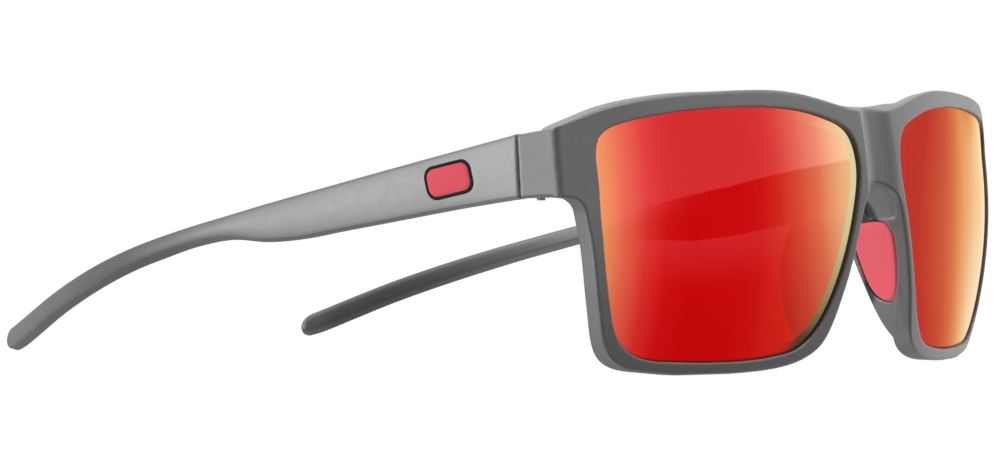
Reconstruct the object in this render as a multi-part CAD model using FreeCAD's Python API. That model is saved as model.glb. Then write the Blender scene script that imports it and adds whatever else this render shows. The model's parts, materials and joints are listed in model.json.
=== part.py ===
import FreeCAD, Part
import math
import os
from FreeCAD import Vector

# Wraparound sport sunglasses, life size, millimetres, +Z up.
# The front faces -Y, the temples run back to +Y and the wearer's right hand side is -X.
# Finished parts have their origin at the centre of the footprint in X and Y, level with the
# rim bottoms. The dimensions below count Y from a zero ORIGIN_Y ahead of that origin; save()
# moves every part. All paired parts are built on the left (+X) and mirrored.

ORIGIN_Y = 71.84      # middle of the footprint, front to back

# ---------------------------------------------------------------- wrapped front: dimensions
WRAP_R = 139.0        # horizontal radius of the front face
WRAP_RV = 86.0        # vertical radius of the front face
WRAP_Z = 24.5         # height of the foremost line of the face
WRAP_Y = -3.9         # foremost point of the face
SHELL_Z = (-6.0, 54.0)      # height range of the revolved shells
SHELL_HALF_ANGLE = 37.0     # degrees each side of the middle

FRONT_T = 3.6         # front to back thickness of the rims
LENS_IN = 0.9         # how far the lens face lies behind the rim face
LENS_T = 1.4
LENS_BITE = 0.7       # how far the lens edge runs into the rim
HOLE_AHEAD = 6.0      # how far the lens opening tool reaches ahead of the rim face
CHANNEL_R = 6.6       # radius of the upright channel down the bridge
CHANNEL_D = 1.75      # its depth below the rim face

OUTLINE_Y = -12.0     # plane in which the front outlines are drawn
OUTLINE_DEPTH = 60.0  # how far the frame outline is extruded
LENS_DEPTH = 52.0     # how far the lens outlines are extruded

# Lens opening, (x, z), anticlockwise seen from ahead, from the outer top corner.
APERTURE = [
    (64.74, 39.49), (59.68, 41.95), (54.0, 42.98), (48.27, 43.68), (42.52, 44.12),
    (36.75, 44.35), (30.98, 44.39), (25.21, 44.15), (19.47, 43.52), (13.86, 42.28),
    (8.64, 39.91), (6.85, 34.67), (7.88, 29.01), (9.55, 23.52), (11.44, 18.03),
    (13.66, 12.77), (16.53, 7.87), (20.81, 4.16), (26.42, 2.76), (32.16, 2.20),
    (37.93, 2.03), (43.7, 2.06), (49.46, 2.28), (55.2, 3.0), (59.99, 6.0),
    (62.41, 11.06), (63.88, 16.64), (64.86, 22.32), (65.37, 28.07), (65.5, 33.84),
]

# Outline of the front moulding, (x, z), clockwise seen from ahead, from the top middle:
# top edge, outer edge below the endpiece, then the nasal edge up to the bridge.
# The rim rests on the flat between the end of OUTER and the start of NASAL.
TOP = [
    (0.0, 43.9), (6.8, 44.25), (10.5, 44.85), (15.0, 45.75), (20.5, 46.7), (26.0, 47.25),
    (31.5, 47.5), (37.0, 47.45), (42.5, 47.2), (48.3, 46.75), (53.5, 46.15), (58.5, 45.3),
    (63.0, 44.05), (67.2, 42.5), (71.6, 40.95),
]
OUTER = [
    (69.6, 29.35), (68.35, 28.3), (67.75, 26.4), (67.15, 23.5), (66.3, 19.2), (65.2, 14.5),
    (63.75, 9.5), (62.4, 5.9), (60.4, 3.0), (57.2, 1.25), (53.0, 0.5), (47.6, 0.0),
]
NASAL = [
    (36.4, 0.0), (31.0, 0.2), (26.0, 0.65), (21.5, 1.45), (18.0, 2.7), (15.3, 4.7),
    (13.6, 7.4), (12.3, 10.6), (10.9, 14.4), (9.55, 18.2), (8.2, 22.2), (6.9, 26.0),
    (5.3, 29.0), (3.0, 30.9), (0.0, 31.6),
]

# ---------------------------------------------------------------- endpiece: dimensions
SEAM_Y = 24.0         # plane where the endpiece meets the temple
SEAM_GAP = 0.10       # gap between endpiece and temple
CREASE_X = 72.2       # outer face of the endpiece
ENDPIECE_IN = 68.3    # inner face of the endpiece side wall
OUTLINE_END_X = CREASE_X - 0.1
OUTLINE_END_Z = (40.5, 29.6)    # top and bottom of the upright end of the outline
ENDPIECE_Z = 29.2     # underside of the block before its top and bottom are sloped
ENDPIECE_H = 14.0
ENDPIECE_WRAP_Z = 35.0          # height at which the block follows the wrapped face
SLOPE_Y = (10.0, 24.5)          # where the two sloping cuts start and end
# Sloping cuts: z at the start, z at the end, z of the far side of the cut.
SLOPES = [(42.2, 39.7, 50.0), (30.1, 29.25, 20.0)]

# ---------------------------------------------------------------- nose flange and pad: dimensions
# Nose side face of the flange, (z, x), at its front and rear planes.
FLANGE_FRONT = [
    (29.5, 5.6), (26.0, 7.1), (22.0, 8.4), (18.0, 9.75), (14.0, 11.15), (10.0, 12.65),
    (6.8, 14.1), (4.4, 15.9),
]
FLANGE_BACK = [(27.0, 9.6), (23.5, 11.25), (20.0, 12.4), (17.6, 13.25)]
FLANGE_Y = (-1.0, 10.3)
FLANGE_T = 2.0
FLANGE_DEPTHS = (0.6, 30.0)     # range behind the front face in which the flange is kept

# Outline of the nose pad seen from the side, (y, z), from the front top corner backwards.
PAD = [
    (0.7, 24.35), (2.5, 24.75), (5.0, 24.6), (7.2, 24.0), (8.5, 22.6), (8.8, 20.8),
    (8.35, 18.6), (7.9, 16.8), (7.4, 15.1), (6.75, 13.6), (5.8, 12.4), (4.5, 11.65),
    (3.1, 11.45), (1.9, 11.75), (1.0, 12.7), (0.5, 14.2), (0.15, 16.2), (-0.1, 18.6),
    (-0.25, 21.0), (-0.1, 23.1),
]
PAD_T = 1.2
PAD_REACH = 6.0       # how far the pad's tool stands clear of the flange on the nose side
PAD_X = 2.0           # plane in which the pad outline is drawn
PAD_DEPTH = 30.0      # how far it is extruded outwards

# ---------------------------------------------------------------- temple arm: dimensions
# Middle line, (y, x).
TEMPLE_PATH = [
    (24.1, 70.25), (50.0, 70.0), (75.0, 68.9), (90.0, 67.6), (100.0, 65.97), (106.0, 64.51),
    (112.0, 62.42), (118.0, 59.95), (124.0, 57.15), (130.0, 54.22), (136.0, 51.16),
    (142.0, 48.16), (147.5, 45.56),
]
# Heights, (y, top z, bottom z).
TEMPLE_Z = [
    (24.1, 39.9, 29.25), (30.0, 38.52, 28.35), (36.0, 37.07, 27.4), (44.0, 35.14, 26.0),
    (52.0, 33.21, 24.58), (60.0, 31.27, 23.2), (68.0, 29.34, 21.8), (76.0, 27.4, 21.07),
    (84.0, 25.38, 21.3), (92.0, 23.4, 20.0), (100.0, 21.29, 17.84), (108.0, 19.0, 15.48),
    (116.0, 16.49, 12.8), (124.0, 13.66, 9.87), (132.0, 10.48, 6.6), (139.0, 7.31, 3.3),
    (144.0, 4.98, 0.98), (147.4, 3.45, -0.12),
]
# How much higher the underside is at its outer edge than at its inner edge, (y, amount).
TEMPLE_TILT = [
    (24.1, 0.0), (60.0, 0.0), (84.0, 0.19), (100.0, 0.42), (116.0, 0.37), (132.0, 0.5),
    (147.4, 0.42),
]
TEMPLE_T = 3.8        # thickness square to the middle line
TEMPLE_EDGE_R = 1.1   # largest edge radius
TEMPLE_EDGE_SHARE = 0.28        # largest edge radius as a share of width or height
TIP_Y = 147.4         # rearmost point of the arm
# Y of the full sections of the loft, then (y, inset) of the sections that round off the tip.
TEMPLE_STATIONS = [
    SEAM_Y + SEAM_GAP, 32.0, 40.0, 50.0, 60.0, 70.0, 78.0, 86.0, 94.0, 102.0, 109.0, 116.0,
    123.0, 130.0, 137.0, 143.0, 145.9,
]
TIP_STATIONS = [(146.7, 0.1), (147.15, 0.42), (TIP_Y, 1.0)]

# ---------------------------------------------------------------- badge: dimensions
# Slanted pill on the outside of each temple, in a surround.
BADGE_Y = (33.0, 42.2)
BADGE_Z = 32.15       # height of its centre
BADGE_H = 5.6
BADGE_CORNER_R = 1.9
BADGE_SLANT = 1.5     # how much further back the top is than the bottom
BADGE_SLOPE = -0.22   # rise per unit of Y, down towards the back
BADGE_RIM = 0.55      # width of the surround
SURROUND_X = (71.2, 72.45)
INLAY_X = (71.75, 72.6)

# ---------------------------------------------------------------- hinge: dimensions
HINGE_X, HINGE_Y = 66.6, 23.0   # hinge axis
BARREL_R = 1.5
BARREL_Z = 29.4       # underside of the lowest knuckle
KNUCKLE_H = 1.82
KNUCKLE_GAP = 0.06
PIN_R = 0.70
BORE_R = 0.75
LUG_CLEARANCE = 0.1   # from the axis to the inner face of the lugs that carry the knuckles
# (bottom z, top z) of the five knuckles, from the lowest up.
KNUCKLES = [
    (bottom, bottom + KNUCKLE_H)
    for bottom in (BARREL_Z + i * (KNUCKLE_H + KNUCKLE_GAP) for i in range(5))
]
BARREL_TOP = KNUCKLES[-1][1]

LEAF_T = 1.2
LEAF_X = ENDPIECE_IN - LEAF_T   # inner face of both leaves
FRONT_LEAF_Y = (19.4, 21.40)
FRONT_LEAF_Z = (BARREL_Z + 1.2, BARREL_TOP - 0.2)
FRONT_LUG_OVERLAP = 0.3         # how far the lugs run over the leaf
TEMPLE_LEAF_Y = (24.62, 32.4)
TEMPLE_LEAF_Z = (30.6, 37.0)
TEMPLE_LUG_OVERLAP = 0.4

PIN_BELOW = 0.45      # how far the hinge pin sticks out below the barrel
PIN_HEAD_R, PIN_HEAD_H = 1.25, 0.75
PIN_SLOT_HALF = (1.4, 0.16)     # half length (X) and half width (Y) of the slot
PIN_SLOT_Z = (0.4, 1.0)         # slot floor and tool top above the barrel

SHANK_R = 0.45
HEAD_R, HEAD_H = 0.85, 0.35
SLOT_X = (0.5, 0.17)            # start and floor of the slot, inwards of the leaf's inner face
SLOT_HALF = (0.12, 1.0)         # half width (Y) and half length (Z) of the slot
FRONT_SCREWS = [(20.45, 32.2), (20.45, 36.2)]       # (y, z)
FRONT_SCREW_DEPTH = 2.2         # beyond the leaf
TEMPLE_SCREWS = [(27.2, 33.9), (30.6, 33.2)]
TEMPLE_SCREW_DEPTH = 2.0


# ---------------------------------------------------------------- helpers
def smooth_value(table, y, column=1):
    """Smooth (Catmull-Rom) value of a column of the table at y."""
    last = len(table) - 1
    i = 0
    while i < last - 1 and y > table[i + 1][0]:
        i += 1
    start, end = table[i], table[i + 1]
    step = end[0] - start[0]
    t = (y - start[0]) / step

    def tangent(j):
        before, after = table[max(j - 1, 0)], table[min(j + 1, last)]
        return (after[column] - before[column]) / (after[0] - before[0]) * step

    return ((2 * t ** 3 - 3 * t ** 2 + 1) * start[column]
            + (t ** 3 - 2 * t ** 2 + t) * tangent(i)
            + (-2 * t ** 3 + 3 * t ** 2) * end[column]
            + (t ** 3 - t ** 2) * tangent(i + 1))


def spline(points, closed=False):
    curve = Part.BSplineCurve()
    if closed:
        curve.interpolate(Points=points, PeriodicFlag=True)
    else:
        curve.interpolate(Points=points)
    return curve.toShape()


def arc(start, middle, end):
    return Part.Arc(start, middle, end).toShape()


def box(x0, x1, y0, y1, z0, z1):
    return Part.makeBox(x1 - x0, y1 - y0, z1 - z0, Vector(x0, y0, z0))


def positive(shape):
    """The same solid with a positive volume."""
    return shape.reversed() if shape.Volume < 0 else shape


def loop_prism(points, direction):
    """Solid swept from the smooth closed loop through the points."""
    face = Part.Face(Part.Wire([spline(points, closed=True)]))
    return positive(face.extrude(direction))


def largest(shape):
    return max(shape.Solids, key=lambda solid: solid.Volume)


def clean_solid(shape):
    """Largest solid of the shape, with its split faces joined."""
    return largest(shape.removeSplitter())


def mirror(shape):
    """Mirror image across the plane X = 0."""
    return shape.mirror(Vector(0, 0, 0), Vector(1, 0, 0))


def save(shape, name):
    if len(shape.Solids) == 1:
        shape = shape.Solids[0]
    shape = shape.copy()
    shape.translate(Vector(0, -ORIGIN_Y, 0))
    shape.exportStep("parts/%s.step" % name)


def save_pair(shape, name):
    """Left-hand part and its mirror image."""
    save(shape, name + "_left")
    save(mirror(shape), name + "_right")


# ---------------------------------------------------------------- wrapped front
def wrap_y(x, z):
    """Y of the wrapped front face at (x, z)."""
    radius = WRAP_R - WRAP_RV + math.sqrt(WRAP_RV ** 2 - (z - WRAP_Z) ** 2)
    return WRAP_Y + WRAP_R - math.sqrt(radius ** 2 - x ** 2)


def wrap_shell(near, far):
    """Solid between two depths behind the front face, revolved round the wrap axis."""
    bottom, top = SHELL_Z

    def profile(depth):
        points = []
        for z in (bottom, (bottom + top) / 2.0, top):
            reach = math.sqrt((WRAP_RV - depth) ** 2 - (z - WRAP_Z) ** 2)
            points.append(Vector(0, WRAP_Y + WRAP_RV - reach, z))
        return points

    near_points, far_points = profile(near), profile(far)
    face = Part.Face(Part.Wire([
        arc(*near_points),
        Part.makeLine(near_points[2], far_points[2]),
        arc(*reversed(far_points)),
        Part.makeLine(far_points[0], near_points[0]),
    ]))
    centre, axis = Vector(0, WRAP_Y + WRAP_R, 0), Vector(0, 0, 1)
    face.rotate(centre, axis, -SHELL_HALF_ANGLE)
    return face.revolve(centre, axis, 2 * SHELL_HALF_ANGLE)


def front_outline():
    """Outline face of the front moulding, symmetric about X = 0."""
    def place(points, side=1):
        return [Vector(side * x, OUTLINE_Y, z) for x, z in points]

    end_top, end_bottom = [(OUTLINE_END_X, z) for z in OUTLINE_END_Z]
    edges = [spline(place(reversed(TOP), -1) + place(TOP[1:]))]
    for side in (1, -1):
        corners = place([TOP[-1], end_top, end_bottom, OUTER[0]], side)
        edges += [Part.makeLine(a, b) for a, b in zip(corners, corners[1:])]
        edges.append(spline(place(OUTER, side)))
        edges.append(Part.makeLine(*place([OUTER[-1], NASAL[0]], side)))
    edges.append(spline(place(NASAL) + place(reversed(NASAL[:-1]), -1)))
    return Part.Face(Part.Wire(Part.__sortEdges__(edges)))


def polygon_prism(points, direction):
    return Part.Face(Part.makePolygon(points + [points[0]])).extrude(direction)


def endpiece():
    """Side block that carries the front hinge leaf and meets the temple at the seam."""
    inner_x, corner_x = 64.0, CREASE_X - 0.55
    corner_y = wrap_y(corner_x, ENDPIECE_WRAP_Z) + 0.35
    plan = [
        (inner_x, wrap_y(inner_x, ENDPIECE_WRAP_Z) + 0.9),
        (corner_x, corner_y),
        (CREASE_X, corner_y + 0.75),
        (CREASE_X + 0.05, SEAM_Y),
        (ENDPIECE_IN, SEAM_Y),
        (ENDPIECE_IN, 19.2), (66.2, 17.6), (63.0, 14.8),
    ]
    block = polygon_prism([Vector(x, y, ENDPIECE_Z) for x, y in plan],
                          Vector(0, 0, ENDPIECE_H))
    y0, y1 = SLOPE_Y
    for start_z, end_z, far_z in SLOPES:
        corners = [(y0, start_z), (y1, end_z), (y1, far_z), (y0, far_z)]
        block = block.cut(polygon_prism([Vector(0, y, z) for y, z in corners],
                                        Vector(90, 0, 0)))
    return block


def flange_band(x_in, x_out):
    """Loft along the flange, between its nose side face moved in X by x_in and by x_out."""
    wires = []
    for table, y in zip((FLANGE_FRONT, FLANGE_BACK), FLANGE_Y):
        inner = [Vector(x + x_in, y, z) for z, x in table]
        outer = [Vector(x + x_out, y, z) for z, x in table]
        wires.append(Part.Wire([
            spline(inner),
            Part.makeLine(inner[-1], outer[-1]),
            spline(outer[::-1]),
            Part.makeLine(outer[0], inner[0]),
        ]))
    return Part.makeLoft(wires, True, True)


def flange():
    """Nose flange: runs back from the nasal edge of the rim and flares outwards."""
    return positive(flange_band(0.0, FLANGE_T)).common(wrap_shell(*FLANGE_DEPTHS))


def offset_loop(points, distance):
    """Push an anticlockwise loop of (x, z) points outwards."""
    moved = []
    for i, (x, z) in enumerate(points):
        before, after = points[i - 1], points[(i + 1) % len(points)]
        dx, dz = after[0] - before[0], after[1] - before[1]
        length = math.hypot(dx, dz)
        moved.append((x + dz / length * distance, z - dx / length * distance))
    return moved


def lens_prism(outline):
    return loop_prism([Vector(x, OUTLINE_Y, z) for x, z in outline],
                      Vector(0, LENS_DEPTH, 0))


def build_front():
    """Front moulding with both lens openings, and the left lens."""
    body = largest(wrap_shell(0.0, FRONT_T).common(front_outline().extrude(
        Vector(0, OUTLINE_DEPTH, 0))))
    # The channel follows the upright curve of the front, so its depth stays the same.
    body = body.cut(Part.makeTorus(WRAP_RV + CHANNEL_R - CHANNEL_D, CHANNEL_R,
                                   Vector(0, WRAP_Y + WRAP_RV, WRAP_Z), Vector(1, 0, 0)))
    block, wing = endpiece(), flange()
    for piece in (block, wing, mirror(block), mirror(wing)):
        body = body.fuse(piece)
    body = body.removeSplitter()
    hole = lens_prism(APERTURE).common(wrap_shell(-HOLE_AHEAD, FRONT_T))
    lens = lens_prism(offset_loop(APERTURE, LENS_BITE)).common(
        wrap_shell(LENS_IN, LENS_IN + LENS_T))
    for tool in (hole, lens, mirror(hole), mirror(lens)):
        body = body.cut(tool)
    return body, clean_solid(lens)


def nose_pad(front):
    """D-shaped insert let into the nose side face of the flange."""
    prism = loop_prism([Vector(PAD_X, y, z) for y, z in PAD], Vector(PAD_DEPTH, 0, 0))
    return clean_solid(prism.common(front).common(flange_band(-PAD_REACH, PAD_T)))


# ---------------------------------------------------------------- temple arm
def temple_section(y, inset=0.0):
    """Rounded section of the arm in a plane of constant y, drawn in by inset all round."""
    centre = smooth_value(TEMPLE_PATH, y)
    y0, y1 = y - 1.0, min(y + 1.0, TEMPLE_PATH[-1][0])
    slope = (smooth_value(TEMPLE_PATH, y1) - smooth_value(TEMPLE_PATH, y0)) / (y1 - y0)
    width = TEMPLE_T * math.sqrt(1 + slope * slope) - 1.8 * inset
    top = smooth_value(TEMPLE_Z, y, 1) - inset
    bottom = smooth_value(TEMPLE_Z, y, 2) + inset
    half_tilt = smooth_value(TEMPLE_TILT, y) / 2
    low_in, low_out = bottom - half_tilt, bottom + half_tilt
    x0, x1 = centre - width / 2, centre + width / 2
    r = min(TEMPLE_EDGE_R, (top - low_out) * TEMPLE_EDGE_SHARE, width * TEMPLE_EDGE_SHARE)
    k = r * (1 - math.sqrt(0.5))    # from a corner to the middle of its arc, in x and in z
    ends = [Vector(x, y, z) for x, z in (
        (x0 + r, low_in), (x1 - r, low_out), (x1, low_out + r), (x1, top - r),
        (x1 - r, top), (x0 + r, top), (x0, top - r), (x0, low_in + r))]
    middles = [Vector(x, y, z) for x, z in (
        (x1 - k, low_out + k), (x1 - k, top - k), (x0 + k, top - k), (x0 + k, low_in + k))]
    edges = []
    for i, middle in enumerate(middles):
        start, turn, finish = ends[2 * i], ends[2 * i + 1], ends[(2 * i + 2) % 8]
        edges += [Part.makeLine(start, turn), arc(turn, middle, finish)]
    return Part.Wire(edges)


def temple_arm():
    wires = [temple_section(y) for y in TEMPLE_STATIONS]
    wires += [temple_section(y, inset) for y, inset in TIP_STATIONS]
    return Part.makeLoft(wires, True, False)


# ---------------------------------------------------------------- badge
def badge_prism(inset, x_range):
    """Slanted pill drawn in by inset, between two X planes."""
    x0, x1 = x_range
    centre_y = (BADGE_Y[0] + BADGE_Y[1]) / 2
    r = BADGE_CORNER_R - inset * 0.8
    arc_y = (BADGE_Y[1] - BADGE_Y[0]) / 2 - inset - r
    arc_z = BADGE_H / 2 - inset - r
    corners = []
    for side_y, side_z, start in ((1, 1, 0), (-1, 1, 90), (-1, -1, 180), (1, -1, 270)):
        corner = []
        for turn in (0, 30, 60, 90):
            angle = math.radians(start + turn)
            along = side_y * arc_y + r * math.cos(angle)
            up = side_z * arc_z + r * math.sin(angle)
            corner.append(Vector(x0, centre_y + along + BADGE_SLANT / BADGE_H * up,
                                 BADGE_Z + up + BADGE_SLOPE * along))
        corners.append(corner)
    edges = []
    for i, corner in enumerate(corners):
        edges += [spline(corner), Part.makeLine(corner[-1], corners[(i + 1) % 4][0])]
    return Part.Face(Part.Wire(edges)).extrude(Vector(x1 - x0, 0, 0))


# ---------------------------------------------------------------- hinge
def hinge_cylinder(radius, z0, z1):
    return Part.makeCylinder(radius, z1 - z0, Vector(HINGE_X, HINGE_Y, z0), Vector(0, 0, 1))


def hinge_leaf(leaf_y, leaf_z, lug_y, knuckle_numbers):
    """Flat leaf with some of the knuckles, each carried by a lug; no bore yet."""
    leaf = box(LEAF_X, ENDPIECE_IN, *leaf_y, *leaf_z)
    for i in knuckle_numbers:
        bottom, top = KNUCKLES[i]
        leaf = leaf.fuse(hinge_cylinder(BARREL_R, bottom, top))
        leaf = leaf.fuse(box(HINGE_X + LUG_CLEARANCE, HINGE_X + BARREL_R, *lug_y,
                             max(bottom, leaf_z[0]), min(top, leaf_z[1])))
    return leaf


def front_leaf():
    leaf = hinge_leaf(FRONT_LEAF_Y, FRONT_LEAF_Z,
                      (FRONT_LEAF_Y[1] - FRONT_LUG_OVERLAP, HINGE_Y), (0, 2, 4))
    # The lowest knuckle fits the pin closely; the bore above it is wider.
    bore_z = KNUCKLES[1][0] - KNUCKLE_GAP
    leaf = leaf.cut(hinge_cylinder(BORE_R, bore_z, BARREL_TOP + 1))
    leaf = leaf.cut(hinge_cylinder(PIN_R, BARREL_Z - 1, bore_z + 0.01))
    return clean_solid(leaf)


def temple_leaf():
    leaf = hinge_leaf(TEMPLE_LEAF_Y, TEMPLE_LEAF_Z,
                      (HINGE_Y, TEMPLE_LEAF_Y[0] + TEMPLE_LUG_OVERLAP), (1, 3))
    return clean_solid(leaf.cut(hinge_cylinder(BORE_R, BARREL_Z, BARREL_TOP)))


def hinge_screw():
    """Hinge pin with a slotted head on top."""
    pin = hinge_cylinder(PIN_R, BARREL_Z - PIN_BELOW, BARREL_TOP)
    pin = pin.fuse(hinge_cylinder(PIN_HEAD_R, BARREL_TOP, BARREL_TOP + PIN_HEAD_H))
    half_x, half_y = PIN_SLOT_HALF
    slot = box(HINGE_X - half_x, HINGE_X + half_x, HINGE_Y - half_y, HINGE_Y + half_y,
               BARREL_TOP + PIN_SLOT_Z[0], BARREL_TOP + PIN_SLOT_Z[1])
    return clean_solid(pin.cut(slot))


def leaf_screws(places, depth):
    """Small slotted screws from the inner side through the leaf into the plastic."""
    screws = []
    half_y, half_z = SLOT_HALF
    outwards = Vector(1, 0, 0)
    for y, z in places:
        shank = Part.makeCylinder(SHANK_R, LEAF_T + depth, Vector(LEAF_X, y, z), outwards)
        head = Part.makeCylinder(HEAD_R, HEAD_H, Vector(LEAF_X - HEAD_H, y, z), outwards)
        slot = box(LEAF_X - SLOT_X[0], LEAF_X - SLOT_X[1], y - half_y, y + half_y,
                   z - half_z, z + half_z)
        screws.append(clean_solid(shank.fuse(head).cut(slot)))
    return screws


# ---------------------------------------------------------------- assemblies
def make_front():
    """Front frame, lenses, nose pads and the front half of the hinges."""
    front, lens = build_front()
    pad = nose_pad(front)
    front = front.cut(pad).cut(mirror(pad))
    leaf = front_leaf()
    screws = leaf_screws(FRONT_SCREWS, FRONT_SCREW_DEPTH)
    for screw in screws:
        front = front.cut(screw).cut(mirror(screw))
        leaf = leaf.cut(screw)
    save_pair(pad, "nose_pad")
    save_pair(lens, "lens")
    save_pair(clean_solid(leaf), "front_hinge_leaf")
    save_pair(Part.makeCompound(screws), "front_leaf_screws")
    save_pair(hinge_screw(), "hinge_screw")
    save(clean_solid(front), "front_frame")


def make_temples():
    """Temple arms with their badges and their half of the hinges."""
    leaf = temple_leaf()
    screws = leaf_screws(TEMPLE_SCREWS, TEMPLE_SCREW_DEPTH)
    surround = badge_prism(0.0, SURROUND_X)
    inlay = badge_prism(BADGE_RIM, INLAY_X)
    arm = temple_arm().cut(surround).cut(leaf)
    surround = surround.cut(inlay)
    for screw in screws:
        arm = arm.cut(screw)
        leaf = leaf.cut(screw)
    save_pair(clean_solid(arm), "temple_arm")
    save_pair(clean_solid(leaf), "temple_hinge_leaf")
    save_pair(Part.makeCompound(screws), "temple_leaf_screws")
    save_pair(clean_solid(surround), "badge_surround")
    save_pair(clean_solid(inlay), "badge_inlay")


os.makedirs("parts", exist_ok=True)
make_front()
make_temples()
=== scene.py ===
# Wrap-around sunglasses: a matte grey front and arms, red mirror lenses, soft nose pads and a
# coral badge on each arm. The lenses face -Y, the arms run back along +Y, +Z is up and the pair
# is symmetric about X = 0, with the wearer's left at +X.
import json
import math

import bmesh
import bpy
import numpy as np
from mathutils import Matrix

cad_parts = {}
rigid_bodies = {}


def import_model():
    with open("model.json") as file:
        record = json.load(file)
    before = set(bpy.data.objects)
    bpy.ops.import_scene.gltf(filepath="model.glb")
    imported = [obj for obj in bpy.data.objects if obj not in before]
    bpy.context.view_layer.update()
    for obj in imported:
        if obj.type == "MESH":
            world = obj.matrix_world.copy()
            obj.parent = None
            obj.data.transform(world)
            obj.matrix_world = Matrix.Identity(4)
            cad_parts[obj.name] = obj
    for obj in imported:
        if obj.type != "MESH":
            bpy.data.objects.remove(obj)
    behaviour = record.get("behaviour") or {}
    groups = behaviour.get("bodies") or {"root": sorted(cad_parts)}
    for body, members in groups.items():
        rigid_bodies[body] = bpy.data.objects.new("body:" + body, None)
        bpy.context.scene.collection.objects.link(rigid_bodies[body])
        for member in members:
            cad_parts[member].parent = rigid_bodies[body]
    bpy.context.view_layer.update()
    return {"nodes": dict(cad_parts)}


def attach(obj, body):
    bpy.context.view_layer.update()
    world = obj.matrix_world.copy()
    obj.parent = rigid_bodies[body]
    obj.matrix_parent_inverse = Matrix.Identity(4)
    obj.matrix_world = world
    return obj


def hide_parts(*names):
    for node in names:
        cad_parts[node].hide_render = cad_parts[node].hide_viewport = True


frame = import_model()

import openvdb
from mathutils import Matrix, Vector

# Shapes are worked out in millimetres, with y = 0 near the front of the rim. A mesh is moved
# forward by Y_SHIFT and scaled to metres when it is made.
MM = 0.001
Y_SHIFT = 71.84

# ------------------------------------------------------------------ sizes of the front
# The front face lies on a torus about a vertical axis behind it.
WRAP_RADIUS = 139.0             # seen from above
TUBE_RADIUS = 86.0              # seen from the side
WRAP_Z = 24.5
WRAP_FRONT_Y = -3.9
WRAP_CENTRE_Y = WRAP_FRONT_Y + WRAP_RADIUS
RING_RADIUS = WRAP_RADIUS - TUBE_RADIUS

FRONT_THICKNESS = 3.6
LENS_THICKNESS = 1.4
CHANNEL_RADIUS, CHANNEL_DEPTH = 6.6, 1.75       # upright hollow in the front face at X = 0

# Endpiece: the block at each outer end of the front. Slopes are mm of height per mm of y.
CREASE_X = 72.2                 # outer side
END_INNER_X = 68.3
END_START_X = 63.0
END_DATUM_Y = 10.0              # where the next two heights are given
END_TOP_Z, END_TOP_SLOPE = 42.2, 0.1724
END_BOTTOM_Z, END_BOTTOM_SLOPE = 30.1, 0.0586
SEAM_Y, SEAM_HALF_GAP = 24.0, 0.1               # between endpiece and arm
SEAM_LEAN, SEAM_MIDDLE_Z = 0.07, 34.5

# Nose flange, the soft pad let into it and the shallow facet above the pad
FLARE = 0.296                   # mm outwards per mm back
FLARE_START_Y = -1.0
FLANGE_THICKNESS = 2.0
PAD_DEPTH, PAD_GROOVE = 1.0, 0.16
FACET_DEPTH = 0.3
FLANGE_LIMIT_X, FACET_LIMIT_X = 19.0, 13.0

# Edge of the left lens opening, closed (x, z)
APERTURE = [
    (64.74, 39.49), (59.68, 41.95), (54.0, 42.98), (48.27, 43.68), (42.52, 44.12),
    (36.75, 44.35), (30.98, 44.39), (25.21, 44.15), (19.47, 43.52), (13.86, 42.28),
    (8.64, 39.91), (6.85, 34.67), (7.88, 29.01), (9.55, 23.52), (11.44, 18.03),
    (13.66, 12.77), (16.53, 7.87), (20.81, 4.16), (26.42, 2.76), (32.16, 2.20),
    (37.93, 2.03), (43.7, 2.06), (49.46, 2.28), (55.2, 3.0), (59.99, 6.0),
    (62.41, 11.06), (63.88, 16.64), (64.86, 22.32), (65.37, 28.07), (65.5, 33.84),
]
# Left half of the front's outline in three runs (x, z): top edge, outer edge, lower and nose edge
TOP = [
    (0.0, 43.9), (6.8, 44.25), (10.5, 44.85), (15.0, 45.75), (20.5, 46.7), (26.0, 47.25),
    (31.5, 47.35), (37.0, 47.2), (42.5, 46.95), (48.3, 46.6), (53.5, 46.1), (58.5, 45.4),
    (63.0, 44.4), (67.2, 42.95), (71.6, 41.25),
]
OUTER = [
    (69.6, 29.35), (68.35, 28.3), (67.75, 26.4), (67.15, 23.5), (66.3, 19.2), (65.35, 14.5),
    (64.0, 9.5), (62.75, 5.9), (60.75, 2.9), (57.4, 1.15), (53.0, 0.5), (47.6, 0.0),
]
NASAL = [
    (36.4, 0.0), (31.0, 0.2), (26.0, 0.6), (21.5, 1.35), (18.0, 2.5), (15.2, 4.3),
    (13.4, 7.1), (12.15, 10.4), (10.8, 14.3), (9.5, 18.15), (8.2, 22.2), (6.9, 26.0),
    (5.3, 29.0), (3.0, 30.9), (0.0, 31.6),
]
# Straight side between the top and outer runs (x, z)
END_SIDE = [(CREASE_X - 0.1, 40.5), (CREASE_X - 0.1, 29.6)]

# Side views of the flange, the pad and the facet (y, z)
FLANGE = [
    (-0.6, 6.5), (0.6, 4.2), (1.6, 3.1), (2.6, 3.1), (3.7, 4.3), (4.8, 6.0), (6.0, 8.2),
    (7.1, 10.6), (8.1, 13.2), (9.1, 16.0), (9.9, 18.6), (10.6, 21.2), (10.5, 23.8),
    (9.7, 26.2), (7.9, 28.6), (5.3, 30.5), (2.0, 31.4), (-0.6, 31.6),
]
PAD = [
    (0.3, 24.3), (2.5, 24.75), (5.0, 24.6), (7.2, 24.0), (8.5, 22.6), (8.8, 20.8), (8.35, 18.6),
    (7.9, 16.8), (7.4, 15.1), (6.75, 13.5), (5.8, 12.2), (4.5, 11.35), (3.1, 11.0),
    (1.8, 11.25), (0.7, 12.3), (0.05, 14.0), (-0.4, 16.2), (-0.7, 18.6), (-0.85, 21.0),
    (-0.6, 23.1),
]
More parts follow.
